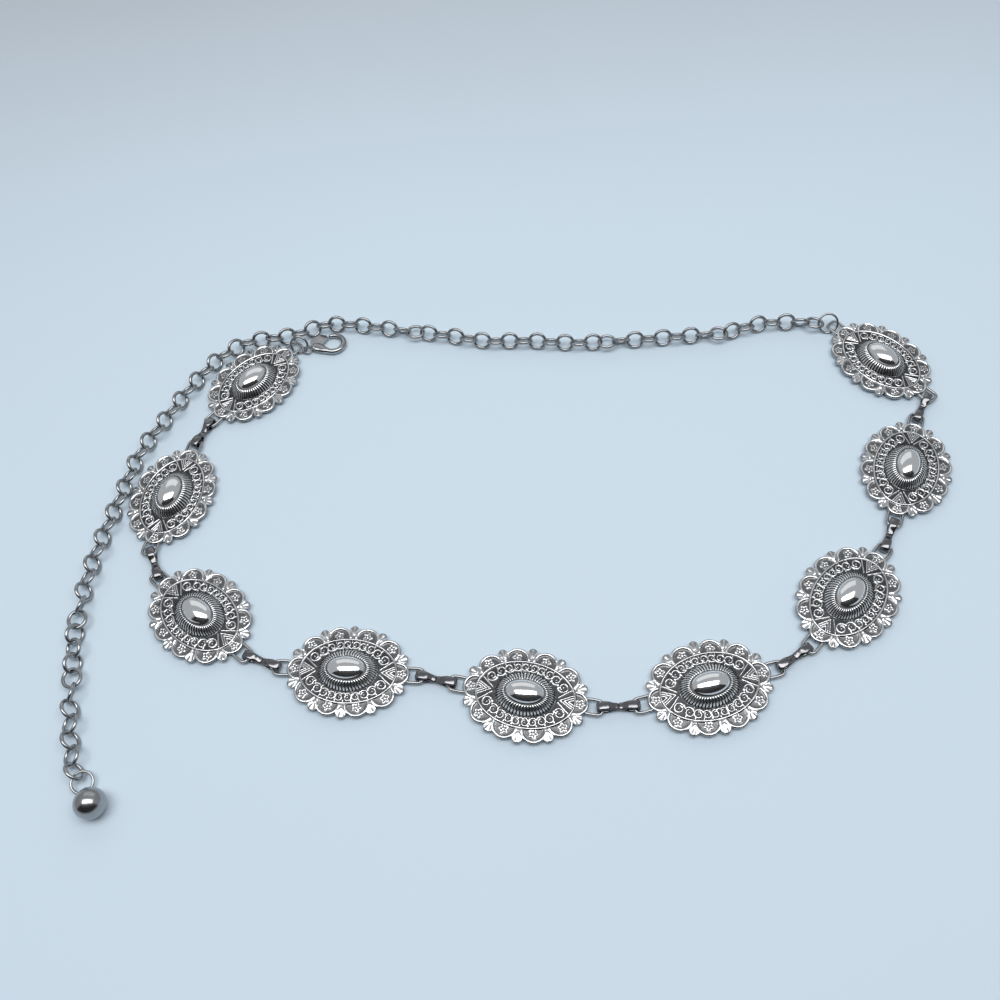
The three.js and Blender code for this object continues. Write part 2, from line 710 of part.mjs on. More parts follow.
// A link's end wire sits inside a jump ring, clear of the ring's own wire.
const hookedIn = (ring) => ring.radius - RING_WIRE / 2 - 2 * CLEARANCE - CHAIN_WIRE / 2;

const chainStart = onRing(chainRing, 180, hookedIn(chainRing) + PAST_JOINT);
const chainLinks = chainJoints(chainStart);
const wireGeometry = wireOval(
  CHAIN_LINK_LENGTH,
  CHAIN_LINK_WIDTH,
  CHAIN_WIRE,
  CHAIN_LOOP_SIDES,
  CHAIN_WIRE_SIDES,
);
CHAIN_RUNS.forEach(({ name }) => {
  const own = chainLinks.filter((link) => link.run === name);
  const run = join(own.map((link) => chainLink(wireGeometry, link)));
  addPiece(name, geometryOf(run.asOriginal().simplify(CHAIN_BITE * 0.8)), greySilver);
});

// The clasp hangs on the point of its ring that is level with the eye.
const eyeHeight = CLASP_THICKNESS - EYE_THICKNESS / 2;
const eyeRise = (eyeHeight - claspRing.middle.z) / (claspRing.radius * claspRing.rising.z);
const eyePlace = onRing(claspRing, THREE.MathUtils.radToDeg(Math.asin(eyeRise)));
const clasp = new THREE.Group();
clasp.position.set(eyePlace.x, eyePlace.y, 0);
clasp.rotation.z = deg(CLASP_HEADING);
const claspMesh = addPiece("clasp_body", geometryOf(claspBody()), greySilver);
const leverMesh = addPiece("clasp_lever", geometryOf(claspLever()), gunmetal);
clasp.add(claspMesh, leverMesh);
group.add(clasp);

// The ball's ring holds the chain's last joint and dips to the eye on the ball.
const lastLink = chainLinks[chainLinks.length - 1];
const BALL_HEADING = -58; // from the last joint to the ball
const ballRingRadius = (BALL_RING_SIZE - RING_WIRE) / 2;
const ballReach = hookedIn({ radius: ballRingRadius }) + PAST_JOINT;
const ballEyeHeight = BALL_EYE_SIZE / 2 + 0.02;
const dip = Math.asin((lastLink.to.z - ballEyeHeight) / (ballReach + ballRingRadius));
const ahead = heading(BALL_HEADING).multiplyScalar(Math.cos(dip));
const toBall = new THREE.Vector3(ahead.x, ahead.y, -Math.sin(dip));
const ballRingMiddle = lastLink.to.clone().addScaledVector(toBall, ballReach);
const ballEye = ballRingMiddle.clone().addScaledVector(toBall, ballRingRadius);
const ballRing = {
  radius: ballRingRadius,
  turn: BALL_HEADING - 90,
  lean: -THREE.MathUtils.radToDeg(dip),
  middle: ballRingMiddle,
};
addRing("ball_ring", ballRing);

// The ball rests on the ground; its eye, a small upright ring, sits low on its chain side.
const eyeSink = BALL_EYE_WIRE / 4;
const eyeReach = BALL_SIZE / 2 + BALL_EYE_SIZE / 2 - eyeSink;
const eyeDrop = Math.asin((BALL_SIZE / 2 - ballEyeHeight) / eyeReach);
const ballGroup = new THREE.Group();
ballGroup.position.set(ballEye.x, ballEye.y, 0);
ballGroup.rotation.z = deg(BALL_HEADING);
const ballShape = new THREE.SphereGeometry(BALL_SIZE / 2, BALL_SIDES, BALL_SIDES / 2);
ballShape.rotateX(Math.PI / 2).translate(eyeReach * Math.cos(eyeDrop), 0, BALL_SIZE / 2);
const eyeShape = wireOval(
  BALL_EYE_SIZE,
  BALL_EYE_SIZE,
  BALL_EYE_WIRE,
  BALL_EYE_SIDES,
  RING_WIRE_SIDES,
);
eyeShape.rotateX(Math.PI / 2).translate(0, 0, ballEyeHeight);
ballGroup.add(addPiece("ball", geometryOf(join([ballShape, eyeShape])), greySilver));
group.add(ballGroup);

// The origin is the middle of the underside of it all.
const extent = new THREE.Box3().setFromObject(group, true);
const middle = extent.getCenter(new THREE.Vector3());
group.position.set(-middle.x, -middle.y, -extent.min.z);
group.userData.middle = [middle.x, middle.y, extent.min.z];

export default group;
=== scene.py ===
"""Looks of a silver concho belt with a long cable chain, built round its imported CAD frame."""

import logging
from dataclasses import dataclass, field
from enum import Enum

import bmesh
import bpy
import numpy as np
from mathutils import Matrix, Vector


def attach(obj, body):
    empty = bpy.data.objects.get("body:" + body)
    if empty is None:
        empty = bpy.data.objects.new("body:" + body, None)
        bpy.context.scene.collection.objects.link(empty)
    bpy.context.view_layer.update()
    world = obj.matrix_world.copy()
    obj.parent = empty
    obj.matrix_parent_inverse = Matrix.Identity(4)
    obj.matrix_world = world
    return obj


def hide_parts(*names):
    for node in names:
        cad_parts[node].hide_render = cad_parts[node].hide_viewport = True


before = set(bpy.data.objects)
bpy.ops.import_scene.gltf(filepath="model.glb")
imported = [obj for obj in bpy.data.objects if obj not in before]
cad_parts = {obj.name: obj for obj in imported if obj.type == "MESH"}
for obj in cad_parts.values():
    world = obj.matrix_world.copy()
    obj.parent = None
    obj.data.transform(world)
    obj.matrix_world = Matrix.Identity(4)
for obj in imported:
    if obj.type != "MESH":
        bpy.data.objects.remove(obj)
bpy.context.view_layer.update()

LOG = logging.getLogger("concho_belt")
MM = 0.001
MERGE_DISTANCE = 1e-7
BELT = "belt"
LEVER = "lever"


class Tone(Enum):
    """The metals and the ground of the scene."""

    CONCHO = "concho_silver"
    LINK = "link_gunmetal"
    CHAIN = "chain_silver"
    GROUND = "ground"


def smooth(low: float, high: float, value: np.ndarray) -> np.ndarray:
    """Rises from 0 at low to 1 at high with level ends.

    Args:
        low: Value where the result leaves 0.
        high: Value where the result reaches 1.
        value: Array to map.

    Returns:
        Array of shares from 0 to 1.
    """
    share = np.clip((value - low) / (high - low), 0.0, 1.0)
    return share * share * (3.0 - 2.0 * share)


def ridge(distance: np.ndarray, width: float) -> np.ndarray:
    """A rounded ridge, 1 on its line and falling off as a bell of the given width.

    Args:
        distance: Distance from the ridge's line.
        width: Distance at which the ridge is down to about a third.

    Returns:
        Array of heights from 0 to 1.
    """
    return np.exp(-((distance / width) ** 2))


def oval_distance(x: np.ndarray, y: np.ndarray, half: tuple[float, float]) -> np.ndarray:
    """Distance from an oval, negative inside: the oval's level less 1, over its slope.

    Args:
        x: Points along the oval's length.
        y: Points across it.
        half: Half length and half width.

    Returns:
        Signed distances.
    """
    level = np.maximum(np.hypot(x / half[0], y / half[1]), 1e-6)
    slope = np.maximum(np.hypot(x / half[0] ** 2, y / half[1] ** 2) / level, 1e-6)
    return (level - 1.0) / slope


@dataclass
class Sheet:
    """Points of two-parameter surfaces with quads between them.

    Attributes:
        points: Points, one a row.
        quads: Four point numbers a row.
        values: Named values, one for each point.
    """

    points: np.ndarray
    quads: np.ndarray
    values: dict[str, np.ndarray] = field(default_factory=dict)

    @classmethod
    def grid(cls, points: np.ndarray, close_rows: bool = False, close_columns: bool = True) -> "Sheet":
        """A surface from rows and columns of points.

        Args:
            points: Array of rows, columns and three coordinates.
            close_rows: Whether the last row joins the first.
            close_columns: Whether the last column joins the first.

        Returns:
            The sheet.
        """
        rows, columns = points.shape[:2]
        number = np.arange(rows * columns).reshape(rows, columns)
        if close_rows:
            number = np.vstack([number, number[:1]])
        if close_columns:
            number = np.hstack([number, number[:, :1]])
        quads = np.stack(
            [number[:-1, :-1], number[:-1, 1:], number[1:, 1:], number[1:, :-1]], axis=-1
        )
        return cls(points.reshape(-1, 3), quads.reshape(-1, 4))

    def with_value(self, name: str, value: np.ndarray | float) -> "Sheet":
        """The sheet with one more named value on its points."""
        spread = np.broadcast_to(np.asarray(value, float).reshape(-1), len(self.points))
        return Sheet(self.points, self.quads, {**self.values, name: np.array(spread)})

    def moved(self, matrix: np.ndarray) -> "Sheet":
        """The sheet moved by a 4 by 4 matrix."""
        points = self.points @ matrix[:3, :3].T + matrix[:3, 3]
        return Sheet(points, self.quads, self.values)

    @classmethod
    def joined(cls, sheets: list["Sheet"]) -> "Sheet":
        """Several sheets as one; they all have the same named values."""
        starts = np.cumsum([0, *[len(sheet.points) for sheet in sheets[:-1]]])
        return cls(
            np.vstack([sheet.points for sheet in sheets]),
            np.vstack([sheet.quads + start for sheet, start in zip(sheets, starts)]),
            {
                name: np.concatenate([sheet.values[name] for sheet in sheets])
                for name in sheets[0].values
            },
        )

    def to_object(self, name: str, material: bpy.types.Material) -> bpy.types.Object:
        """Makes a smooth-shaded mesh object, from millimetres to metres.

        Args:
            name: The piece's name.
            material: Its material.

        Returns:
            The object, at the origin.
        """
        mesh = bpy.data.meshes.new(name)
        mesh.vertices.add(len(self.points))
        mesh.vertices.foreach_set("co", (self.points * MM).astype(np.float32).ravel())
        mesh.loops.add(self.quads.size)
        mesh.loops.foreach_set("vertex_index", self.quads.astype(np.int32).ravel())
        mesh.polygons.add(len(self.quads))
        mesh.polygons.foreach_set("loop_start", np.arange(0, self.quads.size, 4, dtype=np.int32))
        for label, value in self.values.items():
            attribute = mesh.attributes.new(label, "FLOAT", "POINT")
            attribute.data.foreach_set("value", value.astype(np.float32))
        mesh.update(calc_edges=True)
        merged = bmesh.new()
        merged.from_mesh(mesh)
        bmesh.ops.remove_doubles(merged, verts=merged.verts, dist=MERGE_DISTANCE)
        bmesh.ops.recalc_face_normals(merged, faces=merged.faces)
        merged.to_mesh(mesh)
        merged.free()
        mesh.validate()
        mesh.shade_smooth()
        mesh.materials.append(material)
        piece = bpy.data.objects.new(name, mesh)
        bpy.context.scene.collection.objects.link(piece)
        return piece


def wire_loop(length: float, width: float, wire: float, around: int = 40, section: int = 12) -> Sheet:
    """A closed oval of round wire in the XY plane.

    Args:
        length: Outer length along X.
        width: Outer width along Y.
        wire: Wire thickness.
        around: Points round the loop.
        section: Points round the wire.

    Returns:
        The sheet.
    """
    turn = np.arange(around) / around * 2 * np.pi
    halves = np.array([length - wire, width - wire]) / 2
    middle = np.stack([halves[0] * np.cos(turn), halves[1] * np.sin(turn), 0 * turn], axis=-1)
    return tube(middle, np.full(around, wire / 2), section)


def tube(path: np.ndarray, radius: np.ndarray, section: int, closed: bool = True, top: float = 99.0) -> Sheet:
    """A tube round a flat path in the XY plane.

    Args:
        path: Points of the path, in order.
        radius: Wire radius at each point.
        section: Points round the wire.
        closed: Whether the path's last point joins its first.
        top: The most that the tube may rise over its path.

    Returns:
        The sheet.
    """
    along = np.roll(path, -1, axis=0) - np.roll(path, 1, axis=0) if closed else np.gradient(path, axis=0)
    outward = np.stack([along[:, 1], -along[:, 0], 0 * along[:, 0]], axis=-1)
    outward /= np.linalg.norm(outward, axis=1, keepdims=True)
    turn = np.arange(section) / section * 2 * np.pi
    reach = radius[:, None, None] * np.cos(turn)[None, :, None]
    rise = np.minimum(radius, top)[:, None, None] * np.sin(turn)[None, :, None]
    points = path[:, None, :] + outward[:, None, :] * reach + np.array([0, 0, 1.0]) * rise
    return Sheet.grid(points, close_rows=closed)


@dataclass(frozen=True)
class Place:
    """Where a symmetric CAD piece lies: its middle and its own three directions."""

    middle: np.ndarray
    axes: np.ndarray

    @classmethod
    def of(cls, node: str, upright: bool = True) -> "Place":
        """Reads a node's place from its vertices, whose spread is widest along its X.

        Args:
            node: CAD node.
            upright: Whether its Z stays the world's.

        Returns:
            The place, in millimetres.
        """
        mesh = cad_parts[node].data
        points = np.zeros(len(mesh.vertices) * 3)
        mesh.vertices.foreach_get("co", points)
        points = np.unique(points.reshape(-1, 3).round(6), axis=0) / MM
        low, high = points.min(0), points.max(0)
        middle = (low + high) / 2
        if upright:
            offset = points[:, :2] - middle[:2]
            _, ways = np.linalg.eigh(offset.T @ offset)
            along = np.array([*ways[:, 1], 0.0])
            if along[0] < 0:
                along = -along
            axes = np.stack([along, np.cross([0, 0, 1.0], along), [0, 0, 1.0]], axis=1)
            return cls(np.array([middle[0], middle[1], low[2]]), axes)
        middle = points.mean(0)
        offset = points - middle
        _, ways = np.linalg.eigh(offset.T @ offset)
        normal = ways[:, 0] * np.sign(ways[2, 0])
        level = np.cross([0, 0, 1.0], normal)
        level /= np.linalg.norm(level)
        axes = np.stack([level, np.cross(normal, level), normal], axis=1)
        return cls(middle, axes)

    def matrix(self) -> np.ndarray:
        """The place as a 4 by 4 matrix."""
        matrix = np.eye(4)
        matrix[:3, :3] = self.axes
        matrix[:3, 3] = self.middle
        return matrix


@dataclass(frozen=True)
class Scroll:
    """One spiral of the ornament: where it starts, its size, first direction and sweep."""

    x: float
    y: float
    size: float
    start: float
    sweep: float

    def points(self) -> np.ndarray:
        """Points along the spiral, whose radius shrinks from the size to a fifth of it."""
        share = np.linspace(0, 1, 60)
        turn = np.radians(self.start + self.sweep * share)
        radius = self.size * (1.16 - 0.56 * share)
        around = np.stack([self.x + radius * np.cos(turn), self.y + radius * np.sin(turn)], axis=-1)
        return np.vstack([around, [[self.x, self.y]]])


@dataclass
class ConchoShape:
    """The stamped concho: outline, relief and end loops, in its own millimetres."""

    half_length: float = 23.6
    half_width: float = 18.1
    thickness: float = 1.0
    loop_reach: float = 5.6
    loop_width: float = 6.6
    loop_bar: float = 1.0
    lobe_radius: float = 4.75
    fan_radius: float = 1.75
    line: tuple[float, float] = (18.5, 12.6)
    foot: tuple[float, float] = (11.3, 8.4)
    groove: tuple[float, float] = (7.8, 5.0)
    dome: tuple[float, float] = (7.45, 4.7)
    swell: float = 0.75
    ring_height: float = 2.95
    dome_height: float = 2.9
    flutes: int = 52
    samples: int = 9

    LOBES = ((19.0, 0.0, 4.6), (14.4, 8.6, 4.75), (5.35, 12.7, 4.85))
    FLOWERS = ((20.45, 0.0), (15.6, 9.7), (5.5, 13.9))
    FANS = ((0.0, 16.6, 90.0), (11.2, 14.3, 62.0), (20.6, 6.0, 27.0))
    SCROLLS = (
        Scroll(1.6, 10.45, 1.4, -125, 390),
        Scroll(4.6, 9.95, 1.4, -45, -390),
        Scroll(7.6, 9.0, 1.5, -140, 390),
        Scroll(10.5, 7.45, 1.7, -60, -400),
        Scroll(13.5, 5.0, 1.75, -170, 400),
    )
    STROKES = (
        ((0.8, 9.35), (0.0, 8.8)),
        ((0.0, 12.2), (0.0, 11.4)),
        ((5.6, 8.95), (6.1, 7.9)),
        ((6.5, 8.0), (6.1, 7.9)),
        ((3.1, 9.4), (3.1, 8.5)),
        ((11.3, 5.9), (11.4, 4.3)),
        ((12.0, 4.9), (11.4, 4.3)),
        ((8.9, 7.2), (8.3, 6.3)),
        ((3.1, 12.2), (3.1, 11.2)),
        ((6.3, 11.7), (6.0, 10.7)),
        ((9.4, 10.7), (8.9, 9.5)),
        ((12.6, 9.0), (11.9, 7.9)),
        ((16.9, 4.6), (12.3, 0.9)),
        ((17.9, 2.7), (13.0, 0.0)),
        ((17.9, 1.8), (14.6, 0.0)),
        ((17.9, 0.9), (16.2, 0.0)),
    )

    def mirrored(self, rows: tuple) -> list[tuple]:
        """Rows of x, y and more, in all four quarters, without doubles."""
        found = {}
        for x, y, *rest in rows:
            for sx in (1, -1):
                for sy in (1, -1):
                    found[(sx * x + 0.0, sy * y + 0.0)] = (sx * x, sy * y, *rest, sx, sy)
        return list(found.values())

    def outline(self, turn: np.ndarray) -> np.ndarray:
        """Reach of the edge in each direction: the farthest meeting with any edge circle.

        Args:
            turn: Directions in radians.

        Returns:
            Reach for each direction.
        """
        circles = [(x, y, r) for x, y, r, _, _ in self.mirrored(self.LOBES)]
        circles += [(x, y, self.fan_radius) for x, y, *_ in self.mirrored(self.FANS)]
        ahead = np.stack([np.cos(turn), np.sin(turn)], axis=-1)
        reach = np.full(turn.shape, min(self.line))
        for x, y, radius in circles:
            along = ahead @ np.array([x, y])
            aside = x * x + y * y - along**2
            inside = radius**2 - aside
            far = along + np.sqrt(np.maximum(inside, 0))
            reach = np.where((inside > 0) & (far > reach), far, reach)
        return reach

    def strokes(self) -> np.ndarray:
        """Points of every scroll and stroke of the ornament, in all four quarters."""
        quarter = [scroll.points() for scroll in self.SCROLLS]
        share = np.linspace(0, 1, 24)[:, None]
        quarter += [np.array(a) * (1 - share) + np.array(b) * share for a, b in self.STROKES]
        points = np.vstack(quarter)
        return np.vstack([points * [sx, sy] for sx in (1, -1) for sy in (1, -1)])

    def nearest(self, x: np.ndarray, y: np.ndarray, marks: np.ndarray) -> np.ndarray:
        """Distance from each place to the nearest of the marks, in slices."""
        places = np.stack([x.ravel(), y.ravel()], axis=-1)
        found = np.concatenate(
            [
                np.sqrt(((part[:, None, :] - marks[None]) ** 2).sum(-1).min(1))
                for part in np.array_split(places, max(1, len(places) // 1500))
            ]
        )
        return found.reshape(x.shape)

    def relief(self, x: np.ndarray, y: np.ndarray, turn: np.ndarray) -> tuple[np.ndarray, np.ndarray]:
        """Height of the top over the sheet's underside, and how tarnished it is.

        Args:
            x: Places along the concho.
            y: Places across it.
            turn: The oval direction of each place, for the flutes.

        Returns:
            Heights and shares of tarnish.
        """
        out_line = oval_distance(x, y, self.line)
        out_foot = oval_distance(x, y, self.foot)
        out_groove = oval_distance(x, y, self.groove)
        swell = self.swell * np.clip(1 - (x / self.half_length) ** 2 - (y / self.half_width) ** 2, 0, 1)
        height = self.thickness + swell
        tarnish = 0.95 - 0.1 * (out_line > 0)

        line = ridge(out_line, 0.28)
        band = (out_line < 0) & (out_foot > 0)
        strokes = ridge(self.nearest(x, y, self.strokes()), 0.23) * band
        strokes *= smooth(0.0, 0.25, out_foot) * smooth(0.3, 0.7, -out_line)
        height = height + 0.34 * line + 0.3 * strokes
        raised = np.maximum(line, strokes)

        outside = smooth(0.25, 0.8, out_line)
        depth = np.full(x.shape, -9.0)
        for cx, cy, radius, *_ in self.mirrored(self.LOBES):
            depth = np.maximum(depth, radius - np.hypot(x - cx, y - cy))
        rim = ridge(depth - 0.55, 0.45) * outside
        inner = ridge(depth - 1.45, 0.14) * outside * 0.45
        height = height + 0.36 * rim + 0.14 * inner - 0.12 * outside * smooth(0.9, 1.3, depth)
        raised = np.maximum(raised, np.maximum(rim, inner))
        for cx, cy, *_ in self.mirrored(self.FLOWERS):
            away = np.hypot(x - cx, y - cy)
            petal = np.arctan2(y - cy, x - cx) - np.arctan2(cy, cx)
            star = ridge(away - (1.3 + 0.36 * np.cos(5 * petal)), 0.26)
            flower = np.maximum(star, ridge(away, 0.42)) * (away < 2.3) * outside
            height = height + 0.26 * flower
            raised = np.maximum(raised, flower)
        between = smooth(0.35, -0.1, depth) * outside
        height = height + 0.12 * between
        raised = np.maximum(raised, 0.42 * between)
        for cx, cy, way, sx, sy in self.mirrored(self.FANS):
            for spread in (-36.0, 0.0, 36.0):
                first = np.radians(way)
                petal = np.radians(way + spread)
                root = np.array([sx * (abs(cx) - 2.3 * np.cos(first)), sy * (abs(cy) - 2.3 * np.sin(first))])
                tip_way = np.array([sx * np.cos(petal), sy * np.sin(petal)])
                along = np.clip((x - root[0]) * tip_way[0] + (y - root[1]) * tip_way[1], 0.4, 3.2)
                away = np.hypot(x - root[0] - along * tip_way[0], y - root[1] - along * tip_way[1])
                ray = ridge(away, 0.24 + 0.08 * along) * outside
                height = height + 0.24 * ray * (away < 1.2)
                raised = np.maximum(raised, ray * 0.9)

        ring = np.clip(out_groove / np.maximum(out_groove - out_foot, 1e-6), 0, 1)
        in_ring = (out_foot < 0) & (out_groove > 0)
        rib = np.sqrt(np.abs(np.cos(turn * self.flutes / 2)))
        cut = smooth(0.0, 0.12, ring) * smooth(1.0, 0.9, ring)
        slope = self.ring_height * (1 - ring**2.0)
        height = height + in_ring * (slope - 0.46 * (1 - rib) * cut)
        groove = smooth(0.08, 0.34, 1 - rib) * cut + 0.25 * smooth(0.8, 1.0, ring)
        clean = smooth(0.25, 0.75, raised)
        tarnish = np.where(in_ring, groove, tarnish * (1 - 0.97 * clean))

        level = np.clip(np.hypot(x / self.dome[0], y / self.dome[1]), 0, 1)
        on_dome = out_groove <= 0
        bulge = self.dome_height * (1 - level**2.1) ** 0.62
        height = height + on_dome * (self.ring_height - 0.12 + bulge)
        tarnish = np.where(on_dome, 0.9 * smooth(0.93, 1.0, level), tarnish)
        return height, np.clip(tarnish, 0, 1)

    def sheet(self) -> Sheet:
        """The whole concho as a sheet, its underside at z = 0 and its long axis along X."""
        turn = np.arange(self.flutes * self.samples) / (self.flutes * self.samples) * 2 * np.pi
        circle = np.stack([np.cos(turn), np.sin(turn)], axis=-1)
        line = circle * self.line
        way = np.arctan2(line[:, 1], line[:, 0])
        edge = np.stack([np.cos(way), np.sin(way)], axis=-1) * self.outline(way)[:, None]
        rings = [circle * 0.0]
        spans = (
            (circle * 0.0, circle * self.dome, 12),
            (circle * self.dome, circle * self.groove, 2),
            (circle * self.groove, circle * self.foot, 13),
            (circle * self.foot, line, 26),
            (line, edge, 26),
        )
        for inner, outer, steps in spans:
            share = np.arange(1, steps + 1) / steps
            rings += [inner * (1 - s) + outer * s for s in share]
        top = np.array(rings)
        turns = np.broadcast_to(turn, top.shape[:2])
        height, tarnish = self.relief(top[..., 0], top[..., 1], turns)
        height[-1] -= 0.16
        middle = edge * 0.992
        wall = np.array([edge, middle])
        under = np.array([circle * self.foot, circle * self.groove, circle * 0.0])
        below = np.array([0.0, self.ring_height * 0.8, self.ring_height * 0.9])
        points = np.concatenate([top, wall, under])
        rise = np.concatenate(
            [
                height,
                np.array([[0.25], [0.0]]) + 0 * turn,
                below[:, None] + 0 * turn,
            ]
        )
        dark = np.concatenate([tarnish, np.full((5, len(turn)), 0.5)])
        grid = np.concatenate([points, rise[..., None]], axis=-1)
        plate = Sheet.grid(grid).with_value("tarnish", dark)
        loops = [self.end_loop(side) for side in (1, -1)]
        return Sheet.joined([plate, *loops])

    def end_loop(self, side: int) -> Sheet:
        """The flat wire loop past one end lobe: a rounded square path swept by an oval wire."""
        root = self.half_length - 2.2
        end = self.half_length + self.loop_reach - self.loop_bar / 2
        half = (self.loop_width - self.loop_bar) / 2
        turn = (np.arange(72) + 0.5) / 72 * 2 * np.pi
        power = 0.5
        x = np.sign(np.cos(turn)) * np.abs(np.cos(turn)) ** power
        y = np.sign(np.sin(turn)) * np.abs(np.sin(turn)) ** power
        path = np.stack([(root + end) / 2 + (end - root) / 2 * x, half * y, 0 * turn], axis=-1)
        sheet = tube(path, np.full(72, self.loop_bar * 0.62), 12)
        points = sheet.points * [side, side, 1.0] + [0, 0, self.thickness / 2]
        return Sheet(points, sheet.quads).with_value("tarnish", 0.55)


@dataclass
class ConchoRow:
    """The nine conchos, each made from one shape and riding on the belt."""

    material: bpy.types.Material

    def build(self) -> list[bpy.types.Object]:
        """Makes every concho where its CAD node lies."""
        shape = ConchoShape().sheet()
        made = []
        for node in sorted(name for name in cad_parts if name.startswith("concho_")):
            piece = shape.moved(Place.of(node).matrix()).to_object(f"{node}_relief", self.material)
            made.append(seat(piece, BELT, Tone.CONCHO, node))
        return made


def seat(piece: bpy.types.Object, body: str, tone: Tone, *nodes: str) -> bpy.types.Object:
    """Rides a piece on a body, in place of CAD nodes."""
    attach(piece, body)
    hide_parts(*nodes)
    LOG.info("%s rides on %s in place of %s", piece.name, body, ", ".join(nodes))
    return piece


@dataclass
class LinkRow:
    """The figure-eight links: a convex polished band bent to two eyes and a waist."""

    material: bpy.types.Material
    length: float = 16.2
    height: float = 4.5
    waist: float = 2.3
    band: float = 0.9
    width: float = 3.2

    def sheet(self) -> Sheet:
        """One link: two teardrop eyes, each a band with a rounded outer face."""
        turn = np.arange(64) / 64 * 2 * np.pi
        section = np.arange(20) / 20 * 2 * np.pi
        half = self.length / 2 - self.band / 2
        parts = []
        for side in (1, -1):
            open_way = (1 + np.cos(turn)) / 2
            along = side * (0.3 + (half - 0.3) * open_way**0.78)
            swell = smooth(0.0, 0.42, open_way)
            least = (self.waist - self.band) / 2 * 0.75
            most = (self.height - self.band) / 2
            rise = np.sign(np.sin(turn)) * (least + (most - least) * swell)
            rise = rise * np.abs(np.sin(turn)) ** 0.42
            path = np.stack([along, 0 * turn, rise], axis=-1)
            ahead = np.roll(path, -1, axis=0) - np.roll(path, 1, axis=0)
            outward = np.stack([ahead[:, 2], 0 * turn, -ahead[:, 0]], axis=-1) * side
            outward /= np.maximum(np.linalg.norm(outward, axis=1, keepdims=True), 1e-6)
            reach = np.sign(np.cos(section)) * np.abs(np.cos(section)) ** 0.9 * self.band / 2
            across = np.sign(np.sin(section)) * np.abs(np.sin(section)) ** 0.75 * self.width / 2
            narrow = 0.84 + 0.22 * smooth(0.0, 0.6, open_way)
            points = (
                path[:, None, :]
                + outward[:, None, :] * reach[None, :, None]
                + np.array([0, 1.0, 0]) * (narrow[:, None] * across[None, :])[..., None]
            )
            parts.append(Sheet.grid(points, close_rows=True))
        sheet = Sheet.joined(parts)
        return Sheet(sheet.points + [0, 0, self.height / 2], sheet.quads)

    def build(self) -> None:
        """Makes every link where its CAD node lies."""
        shape = self.sheet()
        for node in sorted(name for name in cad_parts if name.startswith("figure_eight_")):
            piece = shape.moved(Place.of(node).matrix()).to_object(f"{node}_band", self.material)
            seat(piece, BELT, Tone.LINK, node)


@dataclass
class JumpRings:
    """The three jump rings, as round wire."""

    material: bpy.types.Material
    wire: float = 1.0

    def build(self) -> None:
        """Makes each ring in its CAD node's plane."""
        for node, size in (("chain_ring", 9.5), ("clasp_ring", 8.8), ("ball_ring", 8.8)):
            shape = wire_loop(size, size, self.wire, 56, 14)
            piece = shape.moved(Place.of(node, upright=False).matrix()).to_object(
                f"{node}_wire", self.material
            )
            seat(piece, BELT, Tone.CHAIN, node)


@dataclass(frozen=True)
class ChainRun:
    """One stretch of the chain: its CAD node, its number of links and how far they zigzag."""

    node: str
    links: int
    swing: float


